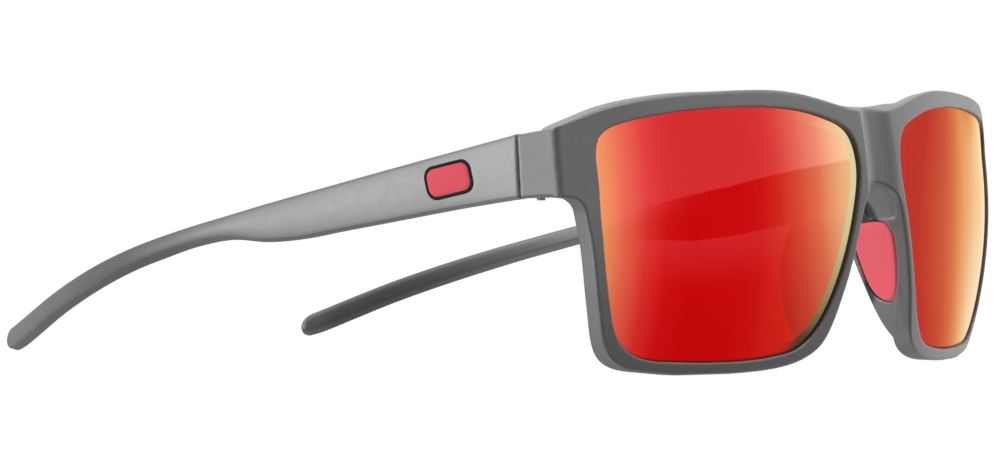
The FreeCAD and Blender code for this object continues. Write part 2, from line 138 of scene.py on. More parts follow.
FACET = [
    (-1.9, 25.9), (-1.9, 28.4), (-1.3, 30.6), (0.3, 31.6), (2.2, 31.4), (3.6, 30.2),
    (4.4, 28.2), (4.5, 25.6), (1.0, 25.3),
]

# Grids on which the flat outlines are sampled: low corner, high corner
FIELD_STEP = 0.25
FRONT_AREA = ((-3.0, -4.0), (79.0, 53.0))
NOSE_AREA = ((-8.0, -2.0), (16.0, 36.0))


# ------------------------------------------------------------------ curves and fields
def spline(points, count, closed=False):
    """count points along the cubic spline through points (chord-length parameter)."""
    knots = np.array(points, float)
    if closed:
        knots = np.vstack([knots, knots[:1]])
    gap = np.hypot(*np.diff(knots, axis=0).T)
    along = np.r_[0, np.cumsum(gap)]
    size = len(knots)
    slope = np.diff(knots, axis=0) / gap[:, None]
    system = np.zeros((size, size))
    right = np.zeros((size, 2))
    for i in range(1, size - 1):
        system[i, i - 1:i + 2] = gap[i - 1], 2 * (gap[i - 1] + gap[i]), gap[i]
        right[i] = 6 * (slope[i] - slope[i - 1])
    if closed:
        system[0, 0], system[0, -1] = 1, -1
        system[-1, 0], system[-1, 1] = 2 * gap[0], gap[0]
        system[-1, -2], system[-1, -1] = gap[-1], 2 * gap[-1]
        right[-1] = 6 * (slope[0] - slope[-1])
    else:
        system[0, 0] = system[-1, -1] = 1
    bend = np.linalg.solve(system, right)
    place = np.linspace(0, along[-1], count + 1 if closed else count)
    if closed:
        place = place[:-1]
    i = np.clip(np.searchsorted(along, place, side="right") - 1, 0, size - 2)
    after = (along[i + 1] - place)[:, None]
    before = (place - along[i])[:, None]
    width = gap[i][:, None]
    return (
        (bend[i] * after ** 3 + bend[i + 1] * before ** 3) / (6 * width)
        + (knots[i] / width - bend[i] * width / 6) * after
        + (knots[i + 1] / width - bend[i + 1] * width / 6) * before
    )


def signed_distance(polygon, across, upward, chunk=20000):
    """Signed distance (negative inside) of the points to a closed polygon."""
    start, end = polygon, np.roll(polygon, -1, axis=0)
    keep = np.hypot(*(end - start).T) > 1e-9
    start, end = start[keep], end[keep]
    run, climb = (end - start).T
    result = np.empty(across.size)
    all_x, all_z = across.ravel(), upward.ravel()
    for c in range(0, all_x.size, chunk):
        x, z = all_x[c:c + chunk, None], all_z[c:c + chunk, None]
        from_x, from_z = x - start[:, 0], z - start[:, 1]
        share = np.clip((from_x * run + from_z * climb) / (run * run + climb * climb), 0, 1)
        squared = (from_x - share * run) ** 2 + (from_z - share * climb) ** 2
        spans = (start[:, 1] > z) != (end[:, 1] > z)
        crossing = start[:, 0] + from_z * run / np.where(climb == 0, 1e-12, climb)
        inside = (spans & (x < crossing)).sum(1) % 2 == 1
        result[c:c + chunk] = np.sqrt(squared.min(1)) * np.where(inside, -1, 1)
    return result.reshape(across.shape)


class Field:
    """A signed distance to a flat outline, sampled on a grid and read back smoothly."""

    def __init__(self, polygon, area):
        self.low, high = area
        self.count = [int(round((high[i] - self.low[i]) / FIELD_STEP)) + 1 for i in (0, 1)]
        axes = [self.low[i] + FIELD_STEP * np.arange(self.count[i]) for i in (0, 1)]
        self.grid = signed_distance(polygon, *np.meshgrid(*axes, indexing="ij"))

    def __call__(self, across, upward):
        column = np.clip((across - self.low[0]) / FIELD_STEP, 0, self.count[0] - 1.001)
        row = np.clip((upward - self.low[1]) / FIELD_STEP, 0, self.count[1] - 1.001)
        i, j = column.astype(int), row.astype(int)
        part_i, part_j = column - i, row - j
        grid = self.grid
        below = grid[i, j] * (1 - part_i) + grid[i + 1, j] * part_i
        above = grid[i, j + 1] * (1 - part_i) + grid[i + 1, j + 1] * part_i
        return below * (1 - part_j) + above * part_j


def mirror_x(points):
    return [(-x, z) for x, z in points]


def outline_polygon():
    top = spline(mirror_x(TOP[::-1]) + TOP[1:], 500)
    side = np.vstack([END_SIDE, spline(OUTER, 220)])
    nasal = spline(NASAL + mirror_x(NASAL[-2::-1]), 440)
    return np.vstack([top, side, nasal, side[::-1] * [-1, 1]])


outline_field = Field(outline_polygon(), FRONT_AREA)
aperture_field = Field(spline(APERTURE, 520, closed=True), FRONT_AREA)
# the flange's two end points stay sharp corners
flange_field = Field(np.vstack([FLANGE[:1], spline(FLANGE[1:-1], 200), FLANGE[-1:]]), NOSE_AREA)
pad_field = Field(spline(PAD, 200, closed=True), NOSE_AREA)
facet_field = Field(spline(FACET, 160, closed=True), NOSE_AREA)


def meet(first, second, radius):
    """Intersection of two solids with a rounded edge."""
    rounded = np.hypot(np.maximum(first + radius, 0), np.maximum(second + radius, 0))
    return np.minimum(-radius, np.maximum(first, second)) + rounded


def blend(first, second, reach):
    """Union of two solids with a soft fillet."""
    near = np.maximum(reach - np.abs(first - second), 0) / reach
    return np.minimum(first, second) - near * near * reach / 4


def ease(value, start, end):
    """Smooth step from 0 at start to 1 at end."""
    part = np.clip((value - start) / (end - start), 0.0, 1.0)
    return part * part * (3 - 2 * part)


# ------------------------------------------------------------------ solids of the front
def swell(side, z):
    """How far the outer parts, most of all the upper corners, stand forward of the plain wrap."""
    broad = 0.48 * ease(side, 40.0, 64.0) * (0.6 + 0.4 * ease(z, 2.0, 28.0))
    return broad + 0.8 * ease(side, 44.0, 62.0) * ease(z, 34.0, 45.0)


def depth(x, y, z):
    """Distance behind the wrapped front face."""
    from_axis = np.hypot(x, y + swell(np.abs(x), z) - WRAP_CENTRE_Y)
    return TUBE_RADIUS - np.hypot(from_axis - RING_RADIUS, z - WRAP_Z)


def wrap_y(x, z, behind):
    """The y of the wrapped surface that lies this far behind the front face."""
    reach = RING_RADIUS + np.sqrt((TUBE_RADIUS - behind) ** 2 - (z - WRAP_Z) ** 2)
    return WRAP_CENTRE_Y - np.sqrt(reach ** 2 - x ** 2) - swell(np.abs(x), z)


def flange_face(side, y, z):
    """Signed distance to the nose-side face of the flange (negative inside the plastic)."""
    level = side - FLARE * np.maximum(y - FLARE_START_Y, 0)
    return outline_field(np.clip(level, -2.9, 78), z) / math.sqrt(1 + 0.85 * FLARE ** 2)


def rim_solid(side, y, z, behind):
    # the outer wall leans in towards the back
    leaned = side + 0.30 * np.clip(behind, 0.0, 5.0) * ease(side, 44.0, 62.0)
    # towards the back the top edge rises over the nose and falls beside it
    upper = ease(z, 34.0, 40.0)
    rise = 0.6 * ease(behind, 0.2, 3.0) * (1 - ease(side, 5.0, 16.0)) * upper
    beside = ease(side, 8.0, 16.0) * (1 - ease(side, 34.0, 44.0))
    fall = 0.5 * ease(behind, 0.5, 3.0) * beside * upper
    rim = meet(outline_field(leaned, z - rise + fall), -behind, 0.45)
    rim = meet(rim, behind - FRONT_THICKNESS, 0.6)
    in_channel = np.hypot(side, behind + CHANNEL_RADIUS - CHANNEL_DEPTH)
    rim = meet(rim, CHANNEL_RADIUS - in_channel, 0.5)
    # above the endpiece the rim runs down to the seam (1.077 is the length of the gradient)
    top_z = 40.8 - 0.175 * (y - 18.0) + 0.36 * (CREASE_X - side)
    return meet(rim, (z - top_z) / 1.077, 0.4)


def end_solid(side, y, z, crease):
    seam = y - (SEAM_Y - SEAM_HALF_GAP + SEAM_LEAN * (z - SEAM_MIDDLE_Z))
    end = meet(crease, seam, 0.35)
    # slanting plane at the back of the inner side; 6.888 and 1.0148 are gradient lengths
    slant = (-4.4 * (side - END_INNER_X) + 5.3 * (y - 19.2)) / 6.888
    end = meet(end, blend(END_INNER_X - side, slant, 0.9), 0.3)
    back = y - END_DATUM_Y
    end = meet(end, (z - (END_TOP_Z - END_TOP_SLOPE * back)) / 1.0148, 0.5)
    end = meet(end, END_BOTTOM_Z - END_BOTTOM_SLOPE * back - z, 0.45)
    return np.maximum(end, END_START_X - side)


def flange_solid(side, y, z, face):
    flange = meet(face, -face - FLANGE_THICKNESS, 0.6)
    flange = meet(flange, flange_field(y, z), 0.7)
    return np.maximum(flange, side - FLANGE_LIMIT_X)


def front_solid(x, y, z):
    side = np.abs(x)
    behind = depth(x, y, z)
    face = flange_face(side, y, z)
    # the front face and the outer side meet in a soft crease
    taper = 0.06 * np.clip(SEAM_Y - y, 0.0, 12.0)
    crease = meet(-behind, side - CREASE_X + taper, 0.8)
    rim = rim_solid(side, y, z, behind)
    rim = np.where(side > 69.0, np.maximum(rim, crease), rim)
    body = np.minimum(rim, end_solid(side, y, z, crease))
    body = blend(body, flange_solid(side, y, z, face), 0.7)
    opening = np.maximum(aperture_field(side, z), behind - FRONT_THICKNESS - 0.4)
    body = meet(body, -opening, 0.28)
    # recess of the nose pad with its thin groove, then the facet
    recess = np.maximum(pad_field(y, z) - PAD_GROOVE, -face - PAD_DEPTH)
    body = meet(body, -np.maximum(recess, side - FLANGE_LIMIT_X), 0.16)
    facet = np.maximum(facet_field(y, z), -face - FACET_DEPTH)
    return meet(body, -np.maximum(facet, side - FACET_LIMIT_X), 0.25)


def pad_solid(x, y, z):
    face = flange_face(np.abs(x), y, z)
    pad = meet(pad_field(y, z), face - 0.12, 0.55)
    return meet(pad, -face - PAD_DEPTH, 0.2)


# ------------------------------------------------------------------ meshes
def new_object(name, data):
    made = bpy.data.objects.new(name, data)
    bpy.context.scene.collection.objects.link(made)
    return made


def new_mesh(name, points, faces):
    """A smooth-shaded object from points in mm, with its normals facing outwards."""
    mesh = bpy.data.meshes.new(name)
    place = np.array(points, float)
    place[:, 1] -= Y_SHIFT
    place *= MM
    mesh.from_pydata(place.tolist(), [], [list(map(int, face)) for face in faces])
    mesh.validate()
    mesh.polygons.foreach_set("use_smooth", np.ones(len(mesh.polygons), bool))
    mesh.update()
    work = bmesh.new()
    work.from_mesh(mesh)
    bmesh.ops.remove_doubles(work, verts=work.verts, dist=1e-7)
    bmesh.ops.recalc_face_normals(work, faces=work.faces)
    work.to_mesh(mesh)
    work.free()
    mesh.update()
    return new_object(name, mesh)


def mesh_from_solid(name, solid, low, high, voxel):
    """The surface of a solid, given as a signed distance, inside the box low..high."""
    count = [int(round((high[i] - low[i]) / voxel)) + 1 for i in range(3)]
    grid_x = (low[0] + voxel * np.arange(count[0]))[:, None, None]
    grid_y = (low[1] + voxel * np.arange(count[1]))[None, :, None]
    grid_z = (low[2] + voxel * np.arange(count[2]))[None, None, :]
    values = np.empty(count, np.float32)
    band = 3 * voxel
    slab = 40
    for c in range(0, count[0], slab):
        values[c:c + slab] = np.clip(solid(grid_x[c:c + slab], grid_y, grid_z), -band, band)
    grid = openvdb.FloatGrid()
    grid.background = float(band)
    grid.copyFromArray(values, tolerance=0.0)
    points, quads = grid.convertToQuads(isovalue=0.0)
    points = np.array(points, float) * voxel + np.array(low)
    # slide every point onto the true surface
    probe = 0.02
    for _ in range(3):
        distance = solid(*points.T)
        gradient = np.stack(
            [solid(*(points + probe * axis).T) - solid(*(points - probe * axis).T)
             for axis in np.eye(3)], 1) / (2 * probe)
        squared = np.maximum((gradient * gradient).sum(1), 0.25)
        move = np.clip(distance / squared, -voxel * 0.5, voxel * 0.5)
        points -= gradient * move[:, None]
    return new_mesh(name, points, np.array(quads)[:, ::-1])


def mirrored(source, name):
    """The same mesh on the other side of X = 0."""
    mesh = source.data.copy()
    mesh.name = name
    mesh.transform(Matrix.Diagonal((-1, 1, 1, 1)))
    mesh.flip_normals()
    return new_object(name, mesh)


def points_mm(source):
    """x, y and z of the object's vertices in mm, with y as in the solids."""
    x, y, z = np.array([vertex.co for vertex in source.data.vertices], float).T * 1000
    return x, y + Y_SHIFT, z


def set_attribute(target, name, values):
    attribute = target.data.attributes.new(name, "FLOAT", "POINT")
    attribute.data.foreach_set("value", values.astype(np.float32))


def outward_normals(loop):
    """Unit normals of a closed flat loop, pointing away from its middle."""
    along = np.roll(loop, -1, 0) - np.roll(loop, 1, 0)
    along /= np.hypot(*along.T)[:, None]
    normals = np.stack([along[:, 1], -along[:, 0]], 1)
    return -normals if np.sum((loop - loop.mean(0)) * normals) < 0 else normals


def band_faces(first, second, count):
    """Quads between two closed rings that start at vertices first and second."""
    for i in range(count):
        k = (i + 1) % count
        yield first + i, first + k, second + k, second + i


# ------------------------------------------------------------------ front moulding and pads
def front_mesh():
    front = mesh_from_solid("front_moulding", front_solid, (-76.2, -6.0, -1.5),
                            (76.2, 26.4, 49.5), voxel=0.3)
    # marks the step behind the lip of the lens opening for painted shade, fading towards the
    # outer ends
    x, y, z = points_mm(front)
    side = np.abs(x)
    recess = ease(depth(x, y, z), 0.20, 0.55)
    recess = recess * (1 - ease(np.abs(aperture_field(side, z)), 0.25, 0.6))
    recess = recess * (1 - 0.95 * ease(side, 40.0, 56.0))
    set_attribute(front, "recess", recess)
    return front


front_moulding = front_mesh()
pad_left = mesh_from_solid("soft_pad_left", pad_solid, (2.0, -3.0, 9.0), (18.0, 12.0, 28.0),
                           voxel=0.22)
pad_right = mirrored(pad_left, "soft_pad_right")


# ------------------------------------------------------------------ lens
LENS_SEGMENTS = 300
LENS_MIDDLE = np.array([37.0, 24.0])    # x, z
LENS_EDGE = 0.12                # bevel of the lens edge
LENS_LAP, LENS_GROOVE = 0.35, 0.40      # how far the skins and the edge pass the opening


def lens_setback(x):
    """How far the lens face lies behind the rim face: deeper beside the nose."""
    return 1.1 - 0.42 * ease(np.abs(x), 14.0, 46.0)


def lens_mesh(name):
    """Rings from the middle out to the groove on the front skin, and back in on the rear one."""
    border = spline(APERTURE, LENS_SEGMENTS, closed=True)
    outward = outward_normals(border)
    rings = [LENS_MIDDLE + (border - LENS_MIDDLE) * s for s in np.linspace(0.03, 0.90, 40)]
    inner = rings[-1]
    rings += [inner + (border - inner) * s for s in (0.25, 0.5, 0.7, 0.85, 1.0)]
    rings.append(border + outward * LENS_LAP)
    groove = border + outward * LENS_GROOVE
    middle = LENS_MIDDLE[None]
    profile = [(middle, 0.0)] + [(ring, 0.0) for ring in rings]
    profile += [(groove, LENS_EDGE), (groove, LENS_THICKNESS - LENS_EDGE)]
    profile += [(ring, LENS_THICKNESS) for ring in reversed(rings)] + [(middle, LENS_THICKNESS)]
    points = []
    for ring, behind in profile:
        x, z = ring.T
        points += zip(x, wrap_y(x, z, lens_setback(x) + behind), z)

    count, last = LENS_SEGMENTS, len(points) - 1
    starts = range(1, last, count)
    faces = []
    for j in range(count):
        k = (j + 1) % count
        faces.append((0, starts[0] + j, starts[0] + k))
        faces.append((last, starts[-1] + k, starts[-1] + j))
    for first, second in zip(starts[:-1], starts[1:]):
        for j in range(count):
            k = (j + 1) % count
            faces.append((first + j, second + j, second + k, first + k))
    lens = new_mesh(name, points, faces)
    # distance in from the edge of the opening, for the coating's edge colour
    x, y, z = points_mm(lens)
    set_attribute(lens, "edge_mm", -aperture_field(np.abs(x), z))
    return lens


lens_left = lens_mesh("mirror_lens_left")
lens_right = mirrored(lens_left, "mirror_lens_right")

# ------------------------------------------------------------------ temple arm
ARM_THICKNESS = 3.8
ARM_START_Y = SEAM_Y + SEAM_HALF_GAP
ARM_END_Y, ARM_END_RADIUS = 147.4, 1.45
# Middle line seen from above (y, x)
ARM_PATH = np.array([
    (24.1, 70.25), (50.0, 70.0), (75.0, 68.9), (90.0, 67.6), (100.0, 65.97), (106.0, 64.51),
    (112.0, 62.42), (118.0, 59.95), (124.0, 57.15), (130.0, 54.22), (136.0, 51.16),
    (142.0, 48.16), (147.5, 45.56),
])
# Side view (y, top z, bottom z)
ARM_HEIGHTS = np.array([
    (24.1, 39.9, 29.25), (30.0, 38.52, 28.35), (36.0, 37.07, 27.4), (44.0, 35.14, 26.0),
    (52.0, 33.21, 24.58), (60.0, 31.27, 23.2), (68.0, 29.34, 21.8), (76.0, 27.4, 21.07),
    (84.0, 25.38, 21.3), (92.0, 23.4, 20.0), (100.0, 21.29, 17.84), (108.0, 19.0, 15.48),
    (116.0, 16.49, 12.8), (124.0, 13.66, 9.87), (132.0, 10.48, 6.6), (139.0, 7.31, 3.3),
    (144.0, 4.98, 0.98), (147.4, 3.45, -0.12),
])
# Height of the outer lower edge above the inner one (y, mm)
ARM_TILT = np.array([(24.1, 0.0), (60.0, 0.0), (84.0, 0.19), (100.0, 0.42), (116.0, 0.37),
                     (132.0, 0.5), (147.4, 0.42)])
# How much the outer face bulges at mid-height (y, mm)
ARM_CROWN = np.array([(24, 0.10), (30, 0.22), (60, 0.30), (100, 0.42), (147, 0.42)])
# y of the cross-sections: close together at both rounded ends
ARM_STATIONS = np.r_[
    24.1, 24.14, 24.24, 24.42, 24.8, np.arange(25.6, 145.7, 0.8),
    146.0, 146.3, 146.5, 146.7, 146.88, 147.03, 147.15, 147.25, 147.32, 147.37, 147.395]
START_INSETS = (0.32, 0.17, 0.05)       # of the first sections, which round the front end
OUTER_CORNER, INNER_CORNER = 0.6, 1.25  # largest corner radii
CORNER_POINTS, FLAT_POINTS, TALL_POINTS = 7, 5, 10


def table_value(table, y, column=1):
    """Smooth value of a column at y."""
    stations, values = table[:, 0], table[:, column]
    slope = np.empty(len(table))
    slope[1:-1] = (values[2:] - values[:-2]) / (stations[2:] - stations[:-2])
    slope[0] = (values[1] - values[0]) / (stations[1] - stations[0])
    slope[-1] = (values[-1] - values[-2]) / (stations[-1] - stations[-2])
    i = int(np.clip(np.searchsorted(stations, y, side="right") - 1, 0, len(table) - 2))
    width = stations[i + 1] - stations[i]
    t = (y - stations[i]) / width
    return float(
        (2 * t ** 3 - 3 * t ** 2 + 1) * values[i] + (t ** 3 - 2 * t ** 2 + t) * width * slope[i]
        + (-2 * t ** 3 + 3 * t ** 2) * values[i + 1] + (t ** 3 - t ** 2) * width * slope[i + 1])


def arm_section(y):
    """Middle x, half width, top and bottom of the arm at y."""
    middle = table_value(ARM_PATH, y)
    before, after = y - 1, min(y + 1, ARM_PATH[-1, 0])
    slope = (table_value(ARM_PATH, after) - table_value(ARM_PATH, before)) / (after - before)
    half = ARM_THICKNESS * math.sqrt(1 + slope * slope) / 2
    top, bottom = table_value(ARM_HEIGHTS, y, 1), table_value(ARM_HEIGHTS, y, 2)
    # blunt end with a rounded edge
    into_end = y - (ARM_END_Y - ARM_END_RADIUS)
    if into_end > 0:
        inset = ARM_END_RADIUS - math.sqrt(max(ARM_END_RADIUS ** 2 - into_end ** 2, 0.0))
        half, top, bottom = half - 0.55 * inset, top - inset, bottom + inset
    return middle, half, top, bottom


def crown_offset(y, z, top, bottom):
    """How far the outer face falls back from its crest: 0 at mid-height, negative elsewhere."""
    crown = float(np.interp(y, *ARM_CROWN.T))
    part = min(1.0, abs((z - (top + bottom) / 2) / ((top - bottom) / 2)))
    return crown * ((1 - part ** 2) - 1)


def arm_loop(half, top, bottom, tilt):
    """Cross-section from the outer bottom corner, up the outer face and round (x, z)."""
    outer_r, inner_r = (min(radius, 0.36 * (top - bottom), 0.44 * 2 * half)
                        for radius in (OUTER_CORNER, INNER_CORNER))
    low_outer, low_inner = bottom + tilt / 2, bottom - tilt / 2
    loop = []

    def corner(x, z, radius, start):
        for a in np.linspace(math.radians(start), math.radians(start + 90), CORNER_POINTS):
            loop.append((x + radius * math.cos(a), z + radius * math.sin(a)))

    def line(start, end, count):
        for s in np.linspace(0, 1, count + 2)[1:-1]:
            loop.append((start[0] + (end[0] - start[0]) * s, start[1] + (end[1] - start[1]) * s))

    corner(half - outer_r, low_outer + outer_r, outer_r, -90)
    line((half, low_outer + outer_r), (half, top - outer_r), TALL_POINTS)
    corner(half - outer_r, top - outer_r, outer_r, 0)
    line((half - outer_r, top), (-half + inner_r, top), FLAT_POINTS)
    corner(-half + inner_r, top - inner_r, inner_r, 90)
    line((-half, top - inner_r), (-half, low_inner + inner_r), TALL_POINTS)
    corner(-half + inner_r, low_inner + inner_r, inner_r, 180)
    line((-half + inner_r, low_inner), (half - outer_r, low_outer), FLAT_POINTS)
    return loop


def arm_mesh(name):
    points, faces = [], []
    for j, y in enumerate(ARM_STATIONS):
        middle, half, top, bottom = arm_section(y)
        inset = START_INSETS[j] if j < len(START_INSETS) else 0.0
        half, top, bottom = half - inset, top - inset, bottom + inset
        loop = arm_loop(half, top, bottom, float(np.interp(y, *ARM_TILT.T)))
        # the start of the arm leans like the seam
        lean = SEAM_LEAN * max(0.0, 1 - (y - ARM_START_Y) / 2.0)
        for x, z in loop:
            # crown on both faces, half as much on the inner one
            crown = crown_offset(y, z, top, bottom) * (1.0 if x > 0 else -0.5)
            points.append((middle + x + crown * abs(x / half),
                           y + lean * (z - SEAM_MIDDLE_Z), z))
    count = len(loop)
    last = len(points) - count
    for first in range(0, last, count):
        faces += band_faces(first, first + count, count)
    # end caps: fans from a middle vertex
    for first, flip in ((0, True), (last, False)):
        points.append(tuple(np.mean(points[first:first + count], axis=0)))
        centre = len(points) - 1
        for i in range(count):
            pair = (first + i, first + (i + 1) % count)
            faces.append((centre,) + (pair[::-1] if flip else pair))
    return new_mesh(name, points, faces)


arm_left = arm_mesh("arm_left")
arm_right = mirrored(arm_left, "arm_right")

# ------------------------------------------------------------------ badge
BADGE_START_Y, BADGE_END_Y = 33.0, 42.2
BADGE_Z = 32.15
BADGE_HEIGHT = 5.6
BADGE_SLANT = 1.5               # the top edge stands this far behind the bottom edge
BADGE_FALL = 0.22               # mm down per mm back
BADGE_RIM = 0.55                # width of the ring
BADGE_CORNER = 1.9
BADGE_POINTS = 120


def badge_outline(inset):
    """Evenly spaced points (y, z) round the badge, inset from its edge."""
    half_length = (BADGE_END_Y - BADGE_START_Y) / 2 - inset
    radius = BADGE_CORNER - inset * 0.8
    out, high = half_length - radius, BADGE_HEIGHT / 2 - inset - radius
    corners = []
    for y, z, start in ((out, high, 0), (-out, high, 90), (-out, -high, 180), (out, -high, 270)):
        for turn in np.linspace(0, 90, 10):
            angle = math.radians(start + turn)
            along, rise = y + radius * math.cos(angle), z + radius * math.sin(angle)
            corners.append(((BADGE_START_Y + BADGE_END_Y) / 2 + along
                            + BADGE_SLANT / BADGE_HEIGHT * rise,
                            BADGE_Z + rise - BADGE_FALL * along))
    closed = np.array(corners + corners[:1])
    travelled = np.r_[0, np.cumsum(np.hypot(*np.diff(closed, axis=0).T))]
    even = np.linspace(0, travelled[-1], BADGE_POINTS + 1)[:-1]
    return np.stack([np.interp(even, travelled, column) for column in closed.T], 1)


def arm_outer_x(y, z):
    middle, half, top, bottom = arm_section(y)
    return middle + half + crown_offset(y, z, top, bottom)


def plate_mesh(name, outline, hole, lift, sink, edge):
    """A thin plate on the arm's outer face, or a ring when the outline of a hole is given.

    It stands out by lift, reaches sink into the arm and has an edge bevel."""
    def shrink(loop, distance):
        return loop - outward_normals(loop) * distance

    count = len(outline)
    centre = outline.mean(0)
    top_edge = shrink(outline, edge)
    profile = [(outline, -sink), (outline, lift - edge),
               (shrink(outline, edge * 0.3), lift - edge * 0.3), (top_edge, lift)]
    if hole is None:
        dome = 0.02
        profile += [(centre + (top_edge - centre) * s, lift + dome * (1 - s))
                    for s in (0.8, 0.6, 0.4, 0.2)]
    else:
        profile += [(shrink(hole, -edge * 0.6), lift), (hole, lift - edge * 0.6), (hole, -sink)]
    starts = [i * count for i in range(len(profile))]
    faces = []
    for first, second in zip(starts[:-1], starts[1:]):
        faces += band_faces(first, second, count)
    if hole is None:
        # middle vertices of the outer face and of the hidden back
        profile += [([centre], lift + dome), ([centre], -sink)]
        front = len(starts) * count
        faces += [(starts[-1] + i, starts[-1] + (i + 1) % count, front) for i in range(count)]
        faces += [((i + 1) % count, i, front + 1) for i in range(count)]
    else:
        faces += band_faces(starts[-1], 0, count)
    points = [(arm_outer_x(y, z) + offset, y, z) for loop, offset in profile for y, z in loop]
    return new_mesh(name, points, faces)


ring_left = plate_mesh("badge_ring_left", badge_outline(0.0), badge_outline(BADGE_RIM),
                       lift=0.10, sink=0.6, edge=0.10)
ring_right = mirrored(ring_left, "badge_ring_right")
plate_left = plate_mesh("badge_plate_left", badge_outline(BADGE_RIM - 0.02), None,
                        lift=0.14, sink=0.4, edge=0.12)
plate_right = mirrored(plate_left, "badge_plate_right")


# ------------------------------------------------------------------ node helpers
class Value:
    """An output socket. Arithmetic on it adds Math nodes."""

    def __init__(self, socket):
        self.socket = socket

    def __add__(self, other):
        return calculate("ADD", self, other)

    def __radd__(self, other):
        return calculate("ADD", other, self)

    def __sub__(self, other):
        return calculate("SUBTRACT", self, other)

    def __rsub__(self, other):
        return calculate("SUBTRACT", other, self)

    def __mul__(self, other):
        return calculate("MULTIPLY", self, other)

    def __rmul__(self, other):
        return calculate("MULTIPLY", other, self)

    def __truediv__(self, other):
        return calculate("DIVIDE", self, other)

    def clamped(self):
        """Clamps the Math node that gives this value to 0..1."""
        self.socket.node.use_clamp = True
        return self


def add_node(tree, kind, inputs=None, **settings):
    """inputs maps the names or numbers of input sockets to Values or to plain values."""
    node = tree.nodes.new("ShaderNode" + kind)
    for key, setting in settings.items():
        setattr(node, key, setting)
    for key, given in (inputs or {}).items():
        if isinstance(given, Value):
            tree.links.new(given.socket, node.inputs[key])
        else:
            node.inputs[key].default_value = given
    return node


def calculate(operation, *terms):
    tree = next(term.socket.id_data for term in terms if isinstance(term, Value))
    node = add_node(tree, "Math", dict(enumerate(terms)), operation=operation)
    return Value(node.outputs[0])


class Nodes:
    """The emptied node tree of a material or world, and the nodes it is built from."""

    def __init__(self, owner):
        self.owner = owner
        owner.use_nodes = True
        self.tree = owner.node_tree
        self.tree.nodes.clear()

    def values(self, kind, outputs, inputs=None, **settings):
        node = add_node(self.tree, kind, inputs, **settings)
        return [Value(node.outputs[output]) for output in outputs]

    def value(self, kind, output=0, inputs=None, **settings):
        return self.values(kind, (output,), inputs, **settings)[0]

    def material(self, shader):
        add_node(self.tree, "OutputMaterial", {"Surface": shader})
        return self.owner

    def split(self, vector):
        return self.values("SeparateXYZ", "XYZ", {0: vector})

    def noise(self, place, scale, detail, roughness):
        return self.value("TexNoise", "Fac", {
            "Vector": place, "Scale": scale, "Detail": detail, "Roughness": roughness})

    def mix(self, factor, first, second, mode="MIX"):
        return self.value("Mix", 2, {0: factor, 6: first, 7: second},
                          data_type="RGBA", blend_type=mode)

    def shade(self, colour, factor):
        """The colour with its brightness multiplied by factor."""
        return self.value("HueSaturation", "Color", {"Color": colour, "Value": factor})

    def bump(self, height, strength, distance):
        return self.value("Bump", "Normal", {
            "Strength": strength, "Distance": distance, "Height": height})

    def rise(self, value, start, end):
        """Smooth step from 0 at start to 1 at end; end may be the smaller."""
        falling = end < start
        return self.value("MapRange", "Result", {
            "Value": value, "From Min": min(start, end), "From Max": max(start, end),
            "To Min": float(falling), "To Max": float(not falling),
        }, clamp=True, interpolation_type="SMOOTHSTEP")

    def ramp(self, value, stops):
        node = add_node(self.tree, "ValToRGB", {"Fac": value})
        elements = node.color_ramp.elements
        while len(elements) > 1:
            elements.remove(elements[-1])
        elements[0].position, elements[0].color = stops[0]
        for position, colour in stops[1:]:
            elements.new(position).color = colour
        return Value(node.outputs["Color"])


def linear(*channels):
    """Linear colour from 0..255 display red, green and blue."""
    shares = [channel / 255.0 for channel in channels]
    return tuple(c / 12.92 if c <= 0.04045 else ((c + 0.055) / 1.055) ** 2.4
                 for c in shares) + (1.0,)


def linear_stops(stops, span=1.0):
    """Ramp stops from (place, display colour), with places counted along span."""
    return [(place / span, linear(*colour)) for place, colour in stops]


def lighter(colour, gain, lift):
    return tuple(min(1.0, c * gain + lift) for c in colour[:3]) + (1.0,)


# ------------------------------------------------------------------ plastic, rubber, steel, print
GREY = (0.217, 0.218, 0.219, 1.0)
RECESS_SHADE = (0.012, 0.012, 0.013, 1.0)
# Painted light and shade: brightness along the arm's outer and inner faces, (world y in mm,
# factor)
TONE_START, TONE_LENGTH = -50.0, 126.0
OUTER_PAINTED_LIGHT = (
    (-46.0, 1.10), (-37.0, 1.06), (-28.0, 0.92), (-15.0, 0.86), (0.0, 0.82), (10.0, 0.86),
    (18.0, 0.78), (26.0, 0.62), (37.0, 0.58), (47.0, 0.70), (57.0, 0.92), (67.0, 1.05),
    (75.6, 1.10))
INNER_PAINTED_LIGHT = (
    (-46.0, 1.10), (38.0, 1.15), (45.0, 0.92), (52.0, 0.70), (62.0, 0.56), (69.0, 0.56),
    (75.6, 0.82))


def arm_painted_light(nodes, place, normal):
    """Painted light and shade: brightness factor from the two tables, by side and by place along
    the arm.
    """
    x, y, z = nodes.split(place)
    turned = nodes.value("VectorTransform", 0, {0: normal}, vector_type="NORMAL",
                         convert_from="WORLD", convert_to="OBJECT")
    outwards = nodes.split(turned)[0] * calculate("SIGN", x)
    # 0 on the inner face, 1 on the outer, with a quick change between
    outer_share = (0.5 + outwards * 1.6).clamped()
    along = ((y + -TONE_START * MM) / (TONE_LENGTH * MM)).clamped()
    # the ramps hold half the factor, to stay below 1
    outer, inner = (
        nodes.ramp(along, [((at - TONE_START) / TONE_LENGTH, (tone / 2.0,) * 3 + (1.0,))
                           for at, tone in tones])
        for tones in (OUTER_PAINTED_LIGHT, INNER_PAINTED_LIGHT))
    return 2.0 * nodes.mix(outer_share, inner, outer)


